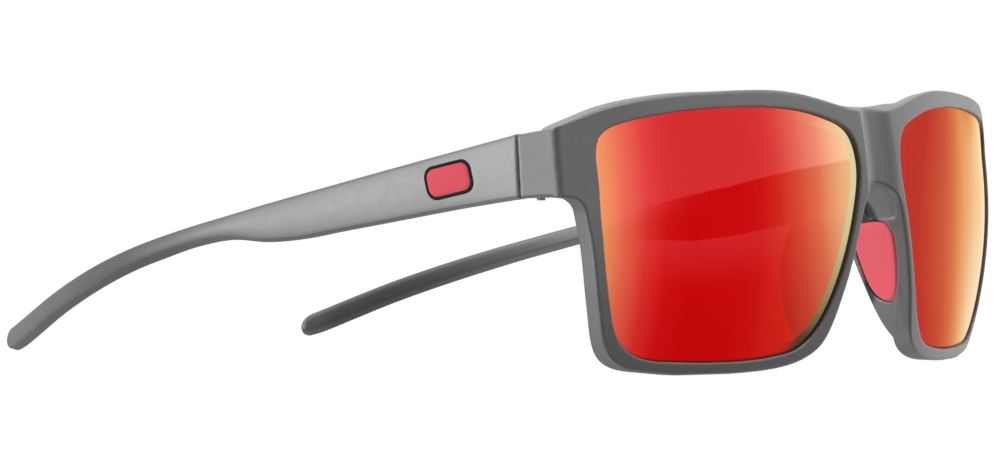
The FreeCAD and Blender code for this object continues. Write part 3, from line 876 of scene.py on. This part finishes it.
def plastic(name, lit_top_above, painted_arm_light=False, painted_end_shade=0.0):
    """Moulded matte plastic: fine grain, faint mottling, lighter edges (partly wear, partly
    painted highlight) and painted light on upward faces.

    The painted top light lies only above the given height (m); the end shade is painted shade
    that darkens the outer ends."""
    nodes = Nodes(bpy.data.materials.new(name))
    place = nodes.value("TexCoord", "Object")
    pointiness, normal = nodes.values("NewGeometry", ("Pointiness", "Normal"))
    fine = nodes.noise(place, scale=5200.0, detail=3.0, roughness=0.6)
    mid = nodes.noise(place, scale=900.0, detail=4.0, roughness=0.55)
    wide = nodes.noise(place, scale=70.0, detail=3.0, roughness=0.5)
    # how far each noise shifts the brightness
    fine_shift, mid_shift, wide_shift = 0.34, 0.16, 0.10
    shift = (fine - 0.5) * fine_shift + (wide - 0.5) * wide_shift
    tone = 1.0 + (shift + (mid - 0.5) * mid_shift)

    # lighter edges: partly wear, partly a painted highlight
    edge_level, edge_gain, wear = 0.505, 9.0, 0.3       # pointiness where wear starts
    edge = ((pointiness - edge_level) * edge_gain).clamped()
    patches = nodes.noise(place, scale=260.0, detail=4.0, roughness=0.6)
    worn_and_lit_edge = (edge * patches * wear).clamped()

    # painted light and shade along the arm's faces
    if painted_arm_light:
        tone = tone * arm_painted_light(nodes, place, normal)
    # painted shade: the outer ends of the front are darker
    if painted_end_shade:
        shade_start, shade_gain = (CREASE_X - 0.6) * MM, 1400.0     # m, per m
        out = calculate("ABSOLUTE", nodes.split(place)[0]) - shade_start
        tone = tone * (1.0 - (out * shade_gain).clamped() * painted_end_shade)
    colour = nodes.mix(worn_and_lit_edge, nodes.shade(GREY, tone), lighter(GREY, gain=1.5, lift=0.03))

    # painted light: upward faces are paler, as if lit from above
    up_level, up_gain, height_gain, top_light_amount = 0.55, 2.8, 200.0, 0.7
    upward = ((nodes.split(normal)[2] - up_level) * up_gain).clamped()
    painted_top_light = upward * ((nodes.split(place)[2] - lit_top_above) * height_gain).clamped()
    colour = nodes.mix(painted_top_light * top_light_amount, colour, lighter(GREY, gain=2.5, lift=0.0))
    # painted shade: the step behind the lip of the lens opening is darkened
    step = nodes.value("Attribute", "Fac", attribute_name="recess")
    colour = nodes.mix(step * 0.9, colour, RECESS_SHADE)

    base_roughness, mid_roughness, worn_polish = 0.38, 0.12, 0.12
    roughness = base_roughness + mid * mid_roughness - worn_and_lit_edge * worn_polish
    return nodes.material(nodes.value("BsdfPrincipled", "BSDF", {
        "Base Color": colour, "Roughness": roughness,
        "Specular IOR Level": 0.9, "Metallic": 0.35,
        "Normal": nodes.bump(fine + mid * 0.6, strength=0.22, distance=0.00004)}))


def soft_rubber(name, base):
    """Soft-touch elastomer: sheen, very fine bumps, slightly darker in the hollows, faint painted
    glow.
    """
    nodes = Nodes(bpy.data.materials.new(name))
    place = nodes.value("TexCoord", "Object")
    fine = nodes.noise(place, scale=3200.0, detail=3.0, roughness=0.6)
    wide = nodes.noise(place, scale=240.0, detail=3.0, roughness=0.5)
    hollow_level, hollow_gain = 0.497, 8.0              # pointiness below which it darkens
    pointiness = nodes.value("NewGeometry", "Pointiness")
    # painted shade: darker in the hollows
    hollow = ((hollow_level - pointiness) * hollow_gain).clamped()
    # brightness: its level, then the shares of the wide noise, the hollows and the fine noise
    level, wide_shift, hollow_shade, fine_shift = 0.97, 0.12, 0.25, 0.05
    tone = level + (wide - 0.5) * wide_shift - hollow * hollow_shade + (fine - 0.5) * fine_shift
    return nodes.material(nodes.value("BsdfPrincipled", "BSDF", {
        "Base Color": nodes.shade(base, tone),
        "Roughness": 0.42 + wide * 0.14, "Specular IOR Level": 0.4,
        "Sheen Weight": 0.10, "Sheen Roughness": 0.4,
        "Subsurface Weight": 0.12, "Subsurface Scale": 0.0008,
        # painted light: a faint coral glow that brightens the pads
        "Emission Color": (1.0, 0.10, 0.14, 1.0), "Emission Strength": 0.10,
        "Normal": nodes.bump(fine, strength=0.15, distance=0.00003)}))


def steel(name, base, roughness):
    """Small steel parts: fine tool marks squeezed along Z, scuffed edges."""
    nodes = Nodes(bpy.data.materials.new(name))
    place = nodes.value("TexCoord", "Object")
    squeezed = nodes.value("Mapping", "Vector", {"Vector": place, "Scale": (1.0, 1.0, 14.0)})
    marks = nodes.noise(squeezed, scale=1500.0, detail=5.0, roughness=0.65)
    blotches = nodes.noise(place, scale=600.0, detail=3.0, roughness=0.5)
    edge_level, edge_gain, scuff = 0.51, 6.0, 0.5       # pointiness where scuffing starts
    pointiness = nodes.value("NewGeometry", "Pointiness")
    edge = ((pointiness - edge_level) * edge_gain).clamped()
    plain, mark_shift = 0.92, 0.16                      # brightness without and with marks
    shaded = nodes.shade(base, plain + marks * mark_shift)
    return nodes.material(nodes.value("BsdfPrincipled", "BSDF", {
        "Base Color": nodes.mix(edge * scuff, shaded, (0.8, 0.8, 0.82, 1.0)),
        "Metallic": 1.0, "Roughness": roughness + blotches * 0.18,
        "Normal": nodes.bump(marks, strength=0.12, distance=0.00003)}))


def lacquer(name, base):
    """Printed and clear-coated badge surface: faint orange peel and tiny pigment specks."""
    nodes = Nodes(bpy.data.materials.new(name))
    place = nodes.value("TexCoord", "Object")
    peel = nodes.noise(place, scale=1800.0, detail=2.0, roughness=0.5)
    specks = nodes.noise(place, scale=7000.0, detail=2.0, roughness=0.7)
    plain, speck_shift = 0.96, 0.08                     # brightness without and with specks
    shaded = nodes.shade(base, plain + specks * speck_shift)
    edge_level, edge_gain, wear = 0.51, 5.0, 0.35       # pointiness where wear starts
    pointiness = nodes.value("NewGeometry", "Pointiness")
    edge = ((pointiness - edge_level) * edge_gain).clamped()
    return nodes.material(nodes.value("BsdfPrincipled", "BSDF", {
        "Base Color": nodes.mix(edge * wear, shaded, lighter(base, gain=1.35, lift=0.02)),
        "Roughness": 0.55 + peel * 0.1, "Specular IOR Level": 0.15,
        "Coat Weight": 0.03, "Coat Roughness": 0.35,
        "Normal": nodes.bump(peel, strength=0.08, distance=0.00003)}))


# ------------------------------------------------------------------ mirror coating
# Places on the lens are in metres. Colours are display colours.
# By distance from X = 0 (mm), nose edge to temple edge
PLACE_SPAN = 70.0
PLACE_TINTS = (
    (8.0, (240, 190, 140)), (12.0, (234, 168, 119)), (17.7, (224, 113, 79)),
    (23.0, (217, 75, 53)), (28.0, (209, 42, 31)), (32.7, (203, 20, 17)), (37.2, (201, 12, 13)),
    (48.0, (199, 9, 11)), (53.0, (205, 18, 19)), (57.0, (215, 48, 43)), (61.0, (226, 98, 72)),
    (64.0, (230, 138, 88)), (66.0, (234, 150, 92)))
# By slant of the view: 0 is edge-on
SLANT_TINTS = (
    (0.00, (255, 240, 214)), (0.06, (252, 228, 188)), (0.12, (248, 214, 162)),
    (0.17, (243, 200, 144)), (0.21, (237, 176, 114)), (0.252, (229, 148, 91)),
    (0.289, (216, 115, 72)), (0.33, (205, 88, 59)), (0.365, (199, 72, 50)),
    (0.397, (192, 56, 43)), (0.43, (190, 52, 42)), (0.46, (192, 56, 48)))
# Painted light on the ground edge of the lens beside the nose, by height (mm)
EDGE_SPAN = 45.0
EDGE_GLOW_TINTS = (
    (2.0, (40, 22, 20)), (6.0, (84, 62, 48)), (10.0, (128, 112, 78)), (16.0, (170, 160, 112)),
    (22.0, (203, 194, 142)), (30.0, (217, 210, 163)), (42.0, (222, 212, 166)))


def film_tint(nodes, place, side, z, facing, tip, near):
    """Red, orange and pale gold: by place where seen squarely (near = 1), else by slant."""
    uneven, max_shift = 0.0016, 0.0053
    film = (nodes.noise(place, scale=22.0, detail=2.0, roughness=0.5) - 0.5) * uneven
    # the gold beside the nose thins out towards the bottom, over 21 mm below z = 26 mm
    shift = nodes.rise(side, start=0.034, end=0.022) * max_shift
    shifted = side + shift * ((0.026 - z) / 0.021).clamped()
    by_place = nodes.ramp((shifted + film) / (PLACE_SPAN * MM),
                          linear_stops(PLACE_TINTS, PLACE_SPAN))
    by_slant = nodes.ramp(facing + tip, linear_stops(SLANT_TINTS))
    # paler low down where the view is very slanting
    pale = nodes.rise(facing + tip, start=0.27, end=0.14)
    pale = pale * nodes.rise(z, start=0.030, end=0.006)
    by_slant = nodes.mix(pale * 0.45, by_slant, linear(252, 236, 214))
    return nodes.mix(near, by_slant, by_place)


def studio_veils(nodes, colour, side, z, mirror_x, mirror_z, near):
    """Faint reflections of the studio, placed by the mirrored view direction."""
    def veil(base, amount, light):
        return nodes.mix(amount * near, base, light + (1.0,), "ADD")

    # upper soft box: the curve of its lower edge, soft on one side and sharp on the other
    box_edge = -0.028 + mirror_x * 0.39 + mirror_x * mirror_x * -0.235
    over = mirror_z - box_edge
    box = nodes.mix(nodes.rise(mirror_x, start=0.10, end=0.45),
                    nodes.rise(over, start=-0.085, end=0.045),
                    nodes.rise(over, start=-0.004, end=0.004))
    colour = veil(colour, box, (0.090, 0.025, 0.028))
    by_nose = nodes.rise(side, start=0.032, end=0.012)
    colour = veil(colour, box * by_nose, (0.03, 0.095, 0.078))

    # lower panel: level upper edge that climbs past panel_bend, and a curved +X edge
    panel_top, panel_bend, panel_climb = -0.067, 0.35, 0.18
    climbing = panel_top + (mirror_x - panel_bend) * panel_climb
    under = calculate("MAXIMUM", panel_top, climbing) - mirror_z
    offset = mirror_z + 0.125
    panel_side = 0.621 + offset * offset * 2.0
    within = nodes.rise(panel_side - mirror_x, start=-0.004, end=0.004)
    panel = nodes.rise(under, start=-0.003, end=0.004) * within
    panel = panel * nodes.rise(under, start=0.16, end=0.0)
    panel = panel * nodes.rise(mirror_x, start=0.03, end=0.35)
    colour = veil(colour, panel, (0.055, 0.012, 0.014))

    # darker beyond the panel's side, most of all low on the lens
    beyond = (1.0 - within) * nodes.rise(under, start=-0.01, end=0.03) * near
    dusk = 0.05 + nodes.rise(z, start=0.026, end=0.004) * 0.30
    colour = nodes.mix(beyond * dusk, colour, (0.20, 0.02, 0.012, 1.0))
    low = nodes.rise(mirror_z, start=-0.16, end=-0.36) * near
    return nodes.mix(low * 0.12, colour, (0.28, 0.0, 0.0, 1.0))


def smoke_side(nodes, place):
    """The wearer's side of the lens."""
    smudges = nodes.noise(place, scale=400.0, detail=4.0, roughness=0.6)
    return nodes.value("BsdfPrincipled", "BSDF", {
        "Base Color": (0.035, 0.028, 0.026, 1.0), "Roughness": 0.06 + smudges * 0.06,
        "Coat Weight": 0.4})


def mirror_lens(name):
    """Red mirror coating in front, dark smoke on the wearer's side."""
    nodes = Nodes(bpy.data.materials.new(name))
    place = nodes.value("TexCoord", "Object")
    incoming, normal, true_normal = nodes.values(
        "NewGeometry", ("Incoming", "Normal", "True Normal"))
    dot = nodes.value("VectorMath", "Value", {0: incoming, 1: normal}, operation="DOT_PRODUCT")
    facing = calculate("ABSOLUTE", dot)
    normal_z = nodes.split(normal)[2]
    tip = normal_z * normal_z * 1.2
    view = nodes.value("VectorMath", 0, {0: incoming, "Scale": -1.0}, operation="SCALE")
    mirror = nodes.value("VectorMath", 0, {0: view, 1: normal}, operation="REFLECT")
    mirror_x, _, mirror_z = nodes.split(mirror)
    x, _, z = nodes.split(place)
    side = calculate("ABSOLUTE", x)
    edge = nodes.value("Attribute", "Fac", attribute_name="edge_mm")
    near = nodes.rise(facing, start=0.455, end=0.53)

    colour = film_tint(nodes, place, side, z, facing, tip, near)
    colour = studio_veils(nodes, colour, side, z, mirror_x, mirror_z, near)
    # the ground edge of the lens beside the nose, seen through the coating; head-on it is a
    # painted glow
    band = nodes.rise(edge, start=1.75, end=1.5) * nodes.rise(side, start=0.026, end=0.020)
    band = band * nodes.rise(z, start=0.0425, end=0.0385)
    painted_edge_glow_tint = nodes.ramp(z / (EDGE_SPAN * MM), linear_stops(EDGE_GLOW_TINTS, EDGE_SPAN))
    colour = nodes.mix(band * (1.0 - near) * 0.5, colour, linear(196, 84, 74))
    # shadow of the lip along the lower edge
    lip = nodes.rise(edge, start=0.55, end=0.05) * nodes.rise(z, start=0.010, end=0.004)
    colour = nodes.mix(lip * 0.75, colour, (0.02, 0.004, 0.004, 1.0))

    ripple = nodes.noise(place, scale=300.0, detail=2.0, roughness=0.5)
    gloss = nodes.value("BsdfGlossy", 0, {
        "Color": colour, "Roughness": 0.0,
        "Normal": nodes.bump(ripple, strength=0.02, distance=0.00002)})
    # painted light: the ground edge glows, darker low down
    glow = nodes.value("Emission", 0, {"Color": painted_edge_glow_tint})
    front = nodes.value("MixShader", 0, {0: band * near * 0.95, 1: gloss, 2: glow})
    # the front skin's normals look towards -Y
    is_back = calculate("GREATER_THAN", nodes.split(true_normal)[1], 0.05)
    return nodes.material(nodes.value("MixShader", 0, {
        0: is_back, 1: front, 2: smoke_side(nodes, place)}))


# ------------------------------------------------------------------ dressing the pieces
front_plastic = plastic("front_plastic", lit_top_above=0.036, painted_end_shade=0.16)
# no part of an arm is high enough for the painted top light
arm_plastic = plastic("arm_plastic", lit_top_above=1.0, painted_arm_light=True)
mirror_coating = mirror_lens("mirror_coating")
pad_elastomer = soft_rubber("pad_elastomer", base=(1.0, 0.135, 0.185, 1.0))
hinge_steel = steel("hinge_steel_dull", base=(0.30, 0.305, 0.31, 1.0), roughness=0.34)
screw_steel = steel("screw_steel_bright", base=(0.46, 0.465, 0.47, 1.0), roughness=0.46)
black_print = lacquer("badge_black_print", base=(0.006, 0.006, 0.007, 1.0))
coral_print = lacquer("badge_coral_print", base=(1.0, 0.108, 0.155, 1.0))


def set_material(target, material):
    target.data.materials.clear()
    target.data.materials.append(material)


def dress(target, material, body, node):
    set_material(target, material)
    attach(target, body)
    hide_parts(node)


dress(front_moulding, front_plastic, "front", "front_frame")
dress(lens_left, mirror_coating, "front", "lens_left")
dress(lens_right, mirror_coating, "front", "lens_right")
dress(pad_left, pad_elastomer, "front", "nose_pad_left")
dress(pad_right, pad_elastomer, "front", "nose_pad_right")
for hand, arm, ring, plate in (("left", arm_left, ring_left, plate_left),
                               ("right", arm_right, ring_right, plate_right)):
    dress(arm, arm_plastic, "temple_" + hand, "temple_arm_" + hand)
    dress(ring, black_print, "temple_" + hand, "badge_surround_" + hand)
    dress(plate, coral_print, "temple_" + hand, "badge_inlay_" + hand)
# the CAD pieces that still show are steel
for name, piece in frame["nodes"].items():
    if not piece.hide_render:
        set_material(piece, screw_steel if "screw" in name else hinge_steel)


# ------------------------------------------------------------------ floor
def floor_material():
    """Pale floor that glows almost white and shows shadows faintly."""
    nodes = Nodes(bpy.data.materials.new("floor_pale"))
    place = nodes.value("TexCoord", "Object")
    mottle = nodes.noise(place, scale=9.0, detail=3.0, roughness=0.5)
    plain, mottle_shift = 0.11, 0.02            # reflectance
    tone = plain + mottle * mottle_shift
    colour = nodes.value("CombineXYZ", 0, {0: tone, 1: tone, 2: tone})
    diffuse = nodes.value("BsdfDiffuse", 0, {"Color": colour})
    glow = nodes.value("Emission", 0, {"Strength": 0.955})
    return nodes.material(nodes.value("AddShader", 0, {0: diffuse, 1: glow}))


FLOOR_HALF = 3.0
FLOOR_Z = -0.0002               # just under the piece
floor_mesh = bpy.data.meshes.new("floor")
floor_mesh.from_pydata([(FLOOR_HALF * x, FLOOR_HALF * y, 0)
                        for x, y in ((-1, -1), (1, -1), (1, 1), (-1, 1))], [], [(0, 1, 2, 3)])
floor = new_object("floor", floor_mesh)
floor.location = (0, 0, FLOOR_Z)
floor_mesh.materials.append(floor_material())
# the floor takes the shadow and gives no light back to the piece
floor.visible_diffuse = False
floor.visible_glossy = False
floor.visible_transmission = False
floor.visible_shadow = False

# ------------------------------------------------------------------ world
# The room's brightness as broad lobes: direction, amount
SKY = (
    ((-0.707, 0.707, 0.0), 1.2183), ((-0.577, 0.577, 0.577), 1.5176),
    ((0.0, -1.0, 0.0), 0.6035), ((0.0, 0.0, -1.0), 0.6816),
    ((0.0, 0.707, -0.707), 0.5923), ((0.0, 0.707, 0.707), 0.6364),
    ((0.577, -0.577, 0.577), 0.2605), ((0.707, 0.0, -0.707), 0.3878),
    ((1.0, 0.0, 0.0), 1.4047), ((0.577, 0.577, 0.577), 0.543),
)
LOBE_SHARPNESS = 8.0


def studio_world():
    """White for the camera and for perfect mirrors, the lobes of SKY for all other rays."""
    world = bpy.data.worlds.new("studio")
    bpy.context.scene.world = world
    nodes = Nodes(world)
    is_camera, is_glossy, is_singular = nodes.values(
        "LightPath", ("Is Camera Ray", "Is Glossy Ray", "Is Singular Ray"))
    generated = nodes.value("TexCoord", "Generated")
    direction = nodes.value("VectorMath", 0, {0: generated}, operation="NORMALIZE")
    total = 0.0
    for axis, amount in SKY:
        dot = nodes.value("VectorMath", "Value", {0: direction, 1: axis},
                          operation="DOT_PRODUCT")
        falloff = calculate("MULTIPLY_ADD", dot, LOBE_SHARPNESS, -LOBE_SHARPNESS)
        total = calculate("MULTIPLY_ADD", calculate("EXPONENT", falloff), amount, total)

    def background(strength):
        return nodes.value("Background", 0, {"Color": (1, 1, 1, 1), "Strength": strength})

    def choose(test, otherwise, chosen):
        return nodes.value("MixShader", 0, {0: test, 1: otherwise, 2: chosen})

    room = background(total)
    mirrored_room = choose(is_singular, room, background(1.0))
    unseen = choose(is_glossy, room, mirrored_room)
    add_node(nodes.tree, "OutputWorld", {"Surface": choose(is_camera, unseen, background(1.0))})


studio_world()

# ------------------------------------------------------------------ lamps
# Square lamps: place (m), power (W)
LAMPS = (
    ((-0.4, 0.22, 0.03), 0.4048), ((-0.25, -0.35, 0.05), 0.0699), ((-0.45, 0.35, 0.05), 0.1521),
    ((0.0, 0.2, 0.3), 0.0565), ((0.0, -0.2, 0.3), 0.2673), ((0.25, -0.15, 0.08), 0.0121),
    ((0.15, -0.35, 0.1), 0.0325), ((0.2, -0.25, 0.25), 0.1276), ((-0.1, -0.35, 0.05), 0.0268),
    ((-0.1, 0.0, -0.25), 0.0446), ((0.1, -0.15, -0.2), 0.0055),
)
LAMP_SIZE = 0.12
# A lamp aims at this share of its own x, at its own y kept within the reach, and at this z
AIM_X_SHARE, AIM_Y_REACH, AIM_Z = 0.25, 0.07, 0.025

front_moulding.visible_glossy = False
# the lamps light everything but the lenses
lit = bpy.data.collections.new("lit_by_lamps")
for piece in list(bpy.context.scene.objects):
    if piece.type == "MESH" and not piece.name.startswith("mirror_lens"):
        lit.objects.link(piece)


def add_lamp(name, place, power):
    light = bpy.data.lights.new(name, "AREA")
    light.energy = power
    light.shape = "RECTANGLE"
    light.size = light.size_y = LAMP_SIZE
    lamp = new_object(name, light)
    lamp.location = place
    aim = Vector((AIM_X_SHARE * place[0], max(-AIM_Y_REACH, min(AIM_Y_REACH, place[1])), AIM_Z))
    lamp.rotation_mode = "QUATERNION"
    lamp.rotation_quaternion = (aim - Vector(place)).to_track_quat("-Z", "Y")
    lamp.light_linking.receiver_collection = lit


for i, (place, power) in enumerate(LAMPS):
    add_lamp("lamp_%d" % i, place, power)

# ------------------------------------------------------------------ camera
# It looks from the front and the wearer's right, a little from above. Lengths are in mm.
AZIMUTH, ELEVATION, ROLL = (math.radians(angle) for angle in (-57.0, 1.41, -0.47))
CAMERA_DISTANCE = 1150.0
CAMERA_AIM = (0.0, 40.0 - Y_SHIFT, 25.0)
PAN_RIGHT, PAN_UP = -28.7, -3.8         # shift of the aim across the view
FOCAL_LENGTH, SENSOR_WIDTH = 238.05, 36.0


def add_camera():
    back = Vector((math.sin(AZIMUTH) * math.cos(ELEVATION),
                   -math.cos(AZIMUTH) * math.cos(ELEVATION), math.sin(ELEVATION)))
    right = Vector((math.cos(AZIMUTH), math.sin(AZIMUTH), 0.0))
    up = back.cross(right)
    aim = Vector(CAMERA_AIM) + right * PAN_RIGHT + up * PAN_UP
    place = (aim + back * CAMERA_DISTANCE) * MM
    rolled_right = right * math.cos(ROLL) - up * math.sin(ROLL)
    rolled_up = right * math.sin(ROLL) + up * math.cos(ROLL)
    lens = bpy.data.cameras.new("camera")
    lens.sensor_width = SENSOR_WIDTH
    lens.lens = FOCAL_LENGTH
    lens.clip_start, lens.clip_end = 0.05, 20.0
    camera = new_object("camera", lens)
    rows = [(rolled_right[i], rolled_up[i], back[i], place[i]) for i in range(3)]
    camera.matrix_world = Matrix(rows + [(0, 0, 0, 1)])
    bpy.context.scene.camera = camera


add_camera()
bpy.context.scene.view_settings.view_transform = "Standard"
bpy.context.scene.view_settings.look = "None"
